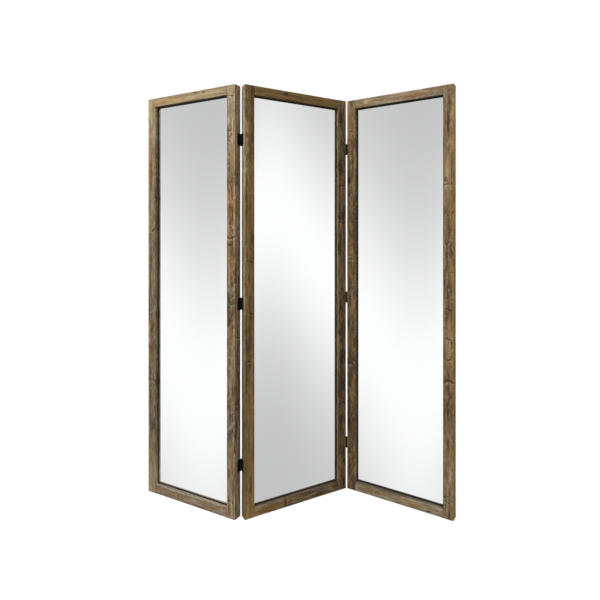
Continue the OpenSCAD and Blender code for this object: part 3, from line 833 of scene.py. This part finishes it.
def check_pattern(r, own, checks, size):
    """Dark lines in the drying cracks."""
    x, y, z = (r.axis(own, letter) for letter in "XYZ")
    total = 0.0
    for face, across, low, high in checks:
        nx, ny = FACE_NORMALS[face]
        wave = r.math("SINE", r.scaled(z, CHECK_WAVES, across))
        line = r.scaled(wave, CHECK_SWAY, across * MM)
        off = r.gap(y if nx else x, line)
        depth = r.times(x if nx else y, nx or ny)
        half = size.x / 2 if nx else size.y / 2
        surface = r.step(depth, half - 4 * MM, half - 3 * MM)
        start = r.step(z, low * MM, low * MM + CHECK_TAPER)
        stop = r.step(z, high * MM, high * MM - CHECK_TAPER)
        dark = r.times(r.step(off, 1.3 * MM, 0.4 * MM), r.times(start, stop))
        total = r.math("MAXIMUM", r.times(dark, surface), total)
    return total


def late_wood(r, own, log, push, member, settings):
    """The hard, dark part of each year's ring, round the pith of a log that grew a little bent."""
    wander = own
    for name, reach in (("sway", SWAY), ("curl", CURL)):
        push_round = r.vector("SUBTRACT", pattern(r, log, name, "Color"), (0.5, 0.5, 0.5))
        wander = r.vector("MULTIPLY_ADD", push_round, reach, wander)
    from_pith = r.vector("SUBTRACT", wander, (member.pith[0] * MM, member.pith[1] * MM, 0))
    radius = r.math("ADD", r.length(r.laid(from_pith, (1, 1, 0))), push)
    years = r.scaled(pattern(r, log, "rings"), 0.9, r.times(radius, 1 / settings.ring_spacing))
    return r.math("POWER", r.math("FRACT", years), 3.0)


def plain_wood(r, height, streaks, mottle, member, size, settings):
    """Light, middle or dark wood by the member's tones, with streaks and mottle over them."""
    first = 1 if member.upright else -1
    tone = r.ramp(r.scaled(height, -first / size.z, 0.5), member.tones)
    swing = STREAK_SWING * member.figure
    tone = r.math("ADD", tone, r.step(streaks, 0.33, 0.67, -swing, swing))
    swing = MOTTLE_SWING * member.figure
    tone = r.math("ADD", tone, r.step(mottle, 0.32, 0.68, -swing, swing), clamp=True)
    light, middle, dark = (tinted(colour, member.tint) for colour in
                           (settings.light_colour, settings.middle_colour, settings.dark_colour))
    colour = r.blend(r.step(tone, 0.5, 1.0), middle, light)
    return r.blend(r.step(tone, 0.5, 0.0), colour, dark)


def wood_material(member, number, size, place, settings):
    """Weathered pine from a log whose pith lies beside the member, with its marks and checks."""
    r = Finish(member.node + "_wood")
    to_own = place.inverted()
    own = r.add("ShaderNodeMapping", {"Vector": r.own_place(), "Location": to_own.translation,
                                      "Rotation": to_own.to_euler()})
    log = r.vector("ADD", own, (0.13 * number, 0.17 * number, 1.9 * number))
    push, shares = mark_pattern(r, own, member.marks, size)
    checks = check_pattern(r, own, member.checks, size)
    late = late_wood(r, own, log, push, member, settings)
    fibres, streaks, mottle, chips, stains, pits, scars = (
        pattern(r, log, name)
        for name in ("fibres", "streaks", "mottle", "chips", "stains", "pits", "scars"))

    height = r.axis(own, "Z")
    colour = plain_wood(r, height, streaks, mottle, member, size, settings)
    rust, grey = (tinted(c, member.tint) for c in (settings.rust_colour, settings.grey_colour))
    rusty = r.times(r.step(stains, 0.47, 0.60), r.step(mottle, 0.36, 0.56))
    colour = r.blend(r.times(rusty, member.rust), colour, rust)
    colour = r.blend(r.times(r.step(chips, 0.54, 0.63), member.grey), colour, grey)
    colour = r.shade(r.times(late, 0.4), colour, LATE_WOOD)
    colour = r.shade(r.step(fibres, 0.60, 0.30, 0.0, 0.5), colour, FIBRE_GAPS)
    colour = r.shade(r.step(pits, 0.37, 0.29, 0.0, 0.6), colour, PITS)
    scarred = r.times(r.step(scars, 0.64, 0.72, 0.0, 0.4), r.step(stains, 0.50, 0.42))
    colour = r.blend(scarred, colour, grey)
    for kind, factor in PATCHES.items():
        if any(mark.kind == kind for mark in member.marks):
            colour = r.shade(shares[kind], colour, rgba(factor))
    colour = r.shade(r.times(shares["knot"], 0.6), colour, KNOTS)
    colour = r.shade(r.times(shares["rim"], 0.6), colour, RIMS)
    colour = r.shade(r.times(shares["line"], 0.85), colour, LINES)
    colour = r.blend(r.times(checks, 0.9), colour, rgba(settings.knot_colour))

    # Painted light and shade: the faces towards the glass are multiplied by the member's own
    # factor, brighter where the recess is meant to look lit and darker where it is meant to look
    # shaded.
    inner = r.step(r.times(r.axis(own, "X"), glass_side(member)),
                   *(size.x / 2 - fade for fade in PAINTED_SHADING_FADE))
    colour = r.shade(inner, colour, rgba(member.inner))
    end = r.step(r.math("ABSOLUTE", height), *(size.z / 2 - fade for fade in END_FADE))
    colour = r.shade(r.times(end, 0.25), colour, SAWN_ENDS)
    relief = r.scaled(late, 0.45, r.times(fibres, 0.55))
    relief = r.scaled(r.step(pits, 0.30, 0.42), 0.6, relief)
    cracks = r.math("MAXIMUM", checks, shares["line"])
    relief = r.math("SUBTRACT", relief, r.times(cracks, 1.5))
    return r.surface(Base_Color=colour, Roughness=r.step(fibres, 0.2, 0.8, 0.72, 0.92),
                     Specular_IOR_Level=0.25, Normal=r.bump(relief, 0.45 * MM, 0.8))


# ---- Other finishes --------------------------------------

SCUFFED = (0.028, 0.026, 0.024, 1)
DUST = (0.36, 0.30, 0.24, 1)
RUBBED_STEEL = (0.055, 0.052, 0.050, 1)


def mirror_material(settings):
    r = Finish("silvered_glass")
    haze = r.noise(r.own_place(), 3.0, 2.0)
    return r.surface(Base_Color=rgba(settings.mirror_colour), Metallic=1.0,
                     Roughness=r.step(haze, 0.3, 0.8, 0.0, 0.02))


def edging_material(settings):
    r = Finish("black_edging")
    scuffs = r.noise(r.own_place(), 240.0, 4.0)
    colour = r.blend(r.step(scuffs, 0.55, 0.75), rgba(settings.edging_colour), SCUFFED)
    return r.surface(Base_Color=colour, Roughness=r.step(scuffs, 0.3, 0.7, 0.55, 0.8),
                     Normal=r.bump(scuffs, 0.05 * MM, 0.5))


def board_material(settings):
    """Hardboard: pressed fibres, darker flecks and a faint wash of dust."""
    r = Finish("hardboard")
    own = r.own_place()
    flecks = r.noise(own, 420.0, 5.0, 0.7)
    clumps = r.noise(own, 55.0, 4.0, 0.6)
    dust = r.noise(own, 3.5, 3.0)
    base = settings.board_colour
    colour = r.blend(r.step(flecks, 0.45, 0.70), rgba(base), rgba([c * 1.5 for c in base]))
    colour = r.blend(r.step(clumps, 0.62, 0.30, 0.0, 0.5), colour, rgba([c * 0.8 for c in base]))
    colour = r.blend(r.step(dust, 0.5, 0.8, 0.0, 0.25), colour, DUST)
    return r.surface(Base_Color=colour, Roughness=r.step(clumps, 0.3, 0.7, 0.85, 0.95),
                     Specular_IOR_Level=0.15, Normal=r.bump(flecks, 0.12 * MM, 0.6))


def dowel_material(settings):
    r = Finish("beech_dowel")
    own = r.own_place()
    pores = r.noise(r.laid(own, (300, 300, 900)), detail=3.0)
    base = settings.dowel_colour
    colour = r.blend(r.step(pores, 0.5, 0.7), rgba(base), rgba([c * 0.7 for c in base]))
    return r.surface(Base_Color=colour, Roughness=r.step(pores, 0.3, 0.7, 0.6, 0.8),
                     Normal=r.bump(pores, 0.1 * MM, 0.5))


def steel_material(settings):
    """Black lacquer with an orange-peel skin, rubbed thin in places."""
    r = Finish("black_steel")
    own = r.own_place()
    peel = r.noise(own, 900.0, 3.0)
    rubs = r.noise(own, 130.0, 5.0, 0.7)
    colour = r.blend(r.step(rubs, 0.60, 0.76), rgba(settings.steel_colour), RUBBED_STEEL)
    return r.surface(Base_Color=colour, Roughness=r.step(rubs, 0.35, 0.75, 0.40, 0.62),
                     Specular_IOR_Level=0.28, Normal=r.bump(peel, 0.04 * MM, 0.4))


# ---- Machined pieces -------------------------------------

MERGE_GAP = 0.001 * MM
FLAT_ANGLE = math.radians(1)
HARD_ANGLE = math.radians(40)


def eased_copy(node, ease):
    """A copy of a node with its flat faces whole again, and its hard edges eased and smooth."""
    piece = add_object(node + "_eased", NODES[node].data.copy())
    edit(piece, faces=lambda face: True)
    bpy.ops.mesh.select_all(action="SELECT")
    bpy.ops.mesh.remove_doubles(threshold=MERGE_GAP)
    bpy.ops.mesh.dissolve_limited(angle_limit=FLAT_ANGLE)
    bpy.ops.mesh.normals_make_consistent(inside=False)
    leave_edit()
    change(piece, "BEVEL", width=ease, segments=2, limit_method="ANGLE", angle_limit=HARD_ANGLE)
    smooth(piece, 35)
    change(piece, "WEIGHTED_NORMAL", keep_sharp=True)
    return piece


def nodes_ending(ending):
    return sorted(node for node in NODES if node.endswith(ending))


def ease_nodes(ending, ease, material):
    for node in nodes_ending(ending):
        piece = eased_copy(node, ease)
        paint(piece, material)
        finish_piece(piece, node)


def paint_nodes(ending, material):
    for node in nodes_ending(ending):
        materials = NODES[node].data.materials
        for place in range(len(materials)):
            materials[place] = material


# ---- Operators -------------------------------------------

class SCREEN_OT_stiles(bpy.types.Operator):
    """Model the six full-height stiles in weathered wood"""
    bl_idname = "screen.stiles"
    bl_label = "Stiles"

    def execute(self, context):
        for number, member in enumerate(MEMBERS):
            if member.upright:
                stile = model_member(member, number, context.scene.screen_wood)
                stile.visible_glossy = member.node != "right_outer_stile"
        return {"FINISHED"}


class SCREEN_OT_rails(bpy.types.Operator):
    """Model the top and bottom rails in weathered wood"""
    bl_idname = "screen.rails"
    bl_label = "Rails"

    def execute(self, context):
        for number, member in enumerate(MEMBERS):
            if not member.upright:
                model_member(member, number, context.scene.screen_wood)
        return {"FINISHED"}


class SCREEN_OT_mirrors(bpy.types.Operator):
    """Silver the glass and ease the black edging round it"""
    bl_idname = "screen.mirrors"
    bl_label = "Mirrors"

    def execute(self, context):
        settings = context.scene.screen_parts
        paint_nodes("_mirror", mirror_material(settings))
        ease_nodes("_mirror_edging", settings.edging_ease, edging_material(settings))
        return {"FINISHED"}


class SCREEN_OT_backs(bpy.types.Operator):
    """Dress the backing boards and the joint dowels"""
    bl_idname = "screen.backs"
    bl_label = "Backs"

    def execute(self, context):
        settings = context.scene.screen_parts
        ease_nodes("_backing_board", settings.edging_ease, board_material(settings))
        paint_nodes("_dowels", dowel_material(settings))
        return {"FINISHED"}


class SCREEN_OT_hinges(bpy.types.Operator):
    """Ease and lacquer the hinge leaves and pins, and lacquer every screw"""
    bl_idname = "screen.hinges"
    bl_label = "Hinges and screws"

    def execute(self, context):
        settings = context.scene.screen_parts
        steel = steel_material(settings)
        ease_nodes("_leaf", settings.leaf_ease, steel)
        ease_nodes("_pin", settings.pin_ease, steel)
        paint_nodes("_screws", steel)
        return {"FINISHED"}


# ---- Stage -----------------------------------------------

# The mirrors' bright band: the height of its middle on the left and on the right, and how far it
# fades there; how it rises and falls on its way round; and the tone away from it.
BAND_LEFT = math.radians(-13.8)
BAND_RIGHT = math.radians(-0.5)
BAND_WIDTH = math.radians(16.8)
WIDER_LEFT = 1.12
NARROWER_RIGHT = 0.92
SIDEWAYS = 0.6
BAND_SWAY = math.radians(3.8)
BAND_WAVES = 22.0
BAND_START = math.radians(13.5)
BAND_GREY = 0.545

# Where the fill light starts to grow, below the horizon, and where it is full.
LOWEST = -0.3
OVERHEAD = 0.8
FLOOR_SIZE = 40.0
FLOOR_GLOW = 0.845


def mirror_sky(r):
    """What a mirror ray sees: a soft, wavy white band all round, with grey above and below it."""
    ray = r.add("ShaderNodeTexCoord", output="Generated")
    x, y, z = (r.axis(ray, letter) for letter in "XYZ")
    round_about = r.math("ARCTAN2", r.times(y, -1.0), r.times(x, -1.0))
    wave = r.math("COSINE", r.scaled(round_about, BAND_WAVES, -BAND_WAVES * BAND_START))
    lean = r.step(x, -SIDEWAYS, SIDEWAYS, BAND_LEFT, BAND_RIGHT)
    middle = r.scaled(wave, BAND_SWAY, lean)
    width = r.step(x, -SIDEWAYS, SIDEWAYS, BAND_WIDTH * WIDER_LEFT, BAND_WIDTH * NARROWER_RIGHT)
    off = r.math("DIVIDE", r.math("SUBTRACT", r.math("ARCSINE", z), middle), width)
    glow = r.math("EXPONENT", r.times(r.times(off, off), -1.0))
    return r.scaled(glow, 1.0 - BAND_GREY, BAND_GREY)


def light_world(settings):
    """Even fill light behind a white backdrop, with a band of its own for the mirrors. Light that
    scattered off the wood before it met the glass sees the fill instead."""
    world = bpy.data.worlds.new("studio")
    bpy.context.scene.world = world
    world.use_nodes = True
    r = Recipe(world.node_tree)
    path = {name: r.add("ShaderNodeLightPath", output=name)
            for name in ("Is Camera Ray", "Is Glossy Ray", "Is Transmission Ray", "Diffuse Depth")}
    seen = r.math("MAXIMUM", path["Is Camera Ray"], path["Is Transmission Ray"])
    up = r.axis(r.add("ShaderNodeTexCoord", output="Generated"), "Z")
    fill = r.step(up, LOWEST, OVERHEAD, settings.fill_low, settings.fill_high)
    unscattered = r.math("LESS_THAN", path["Diffuse Depth"], 0.5)
    direct = r.times(path["Is Glossy Ray"], unscattered)
    sky = r.blend(direct, fill, mirror_sky(r))
    r.feed(world.node_tree.nodes["Background"].inputs["Color"], r.blend(seen, sky, WHITE))


def floor_material(settings):
    """Pale floor that looks white and keeps a soft shadow."""
    r = Finish("pale_floor")
    seen = r.add("ShaderNodeLightPath", output="Is Camera Ray")
    for name in ("Is Glossy Ray", "Is Transmission Ray"):
        seen = r.math("MAXIMUM", seen, r.add("ShaderNodeLightPath", output=name))
    return r.surface(Base_Color=rgba(settings.floor_colour), Roughness=0.9, Specular_IOR_Level=0.0,
                     Emission_Color=WHITE, Emission_Strength=r.times(seen, FLOOR_GLOW))


class SCREEN_OT_stage(bpy.types.Operator):
    """Set the floor, the light and the camera"""
    bl_idname = "screen.stage"
    bl_label = "Stage"

    def execute(self, context):
        settings = context.scene.screen_stage
        bpy.ops.mesh.primitive_plane_add(size=FLOOR_SIZE, location=(0, 0, CAD_BOX[0].z))
        floor = context.active_object
        floor.name = "floor"
        paint(floor, floor_material(settings))
        floor.visible_glossy = False
        light_world(settings)

        lamp = bpy.data.lights.new("key", "AREA")
        lamp.shape = "SQUARE"
        lamp.size = settings.key_size
        lamp.energy = settings.key_power
        key = add_object("key", lamp)
        key.location = settings.key_place
        middle = (CAD_BOX[0] + CAD_BOX[1]) / 2
        key.rotation_euler = (middle - key.location).to_track_quat("-Z", "Y").to_euler()
        key.visible_glossy = False

        view = bpy.data.cameras.new("view")
        view.lens = settings.lens
        view.shift_x, view.shift_y = settings.shift
        camera = add_object("view", view)
        camera.location = settings.eye
        camera.rotation_euler = (math.radians(90), 0, 0)
        context.scene.camera = camera
        context.scene.view_settings.view_transform = "Standard"
        return {"FINISHED"}


class SCREEN_PT_tools(bpy.types.Panel):
    """Settings and steps of the screen"""
    bl_idname = "SCREEN_PT_tools"
    bl_label = "Folding Mirror Screen"
    bl_space_type = "VIEW_3D"
    bl_region_type = "UI"
    bl_category = "Screen"

    def draw(self, context):
        for step in STEPS:
            self.layout.operator(step.bl_idname)
        for group in GROUPS:
            settings = getattr(context.scene, group)
            box = self.layout.box()
            for name in settings.bl_rna.properties.keys():
                if name not in ("rna_type", "name"):
                    box.prop(settings, name)


GROUPS = {
    "screen_wood": ScreenWoodSettings,
    "screen_parts": ScreenPartSettings,
    "screen_stage": ScreenStageSettings,
}
STEPS = (SCREEN_OT_stage, SCREEN_OT_stiles, SCREEN_OT_rails, SCREEN_OT_mirrors,
         SCREEN_OT_backs, SCREEN_OT_hinges)


def register():
    for made in (*GROUPS.values(), *STEPS, SCREEN_PT_tools):
        bpy.utils.register_class(made)
    for name, group in GROUPS.items():
        setattr(bpy.types.Scene, name, PointerProperty(type=group))


def unregister():
    for name in GROUPS:
        delattr(bpy.types.Scene, name)
    for made in (SCREEN_PT_tools, *reversed(STEPS), *reversed(GROUPS.values())):
        bpy.utils.unregister_class(made)


def main():
    register()
    bpy.ops.screen.stage()
    bpy.ops.screen.stiles()
    bpy.ops.screen.rails()
    bpy.ops.screen.mirrors()
    bpy.ops.screen.backs()
    bpy.ops.screen.hinges()


if __name__ == "__main__":
    main()
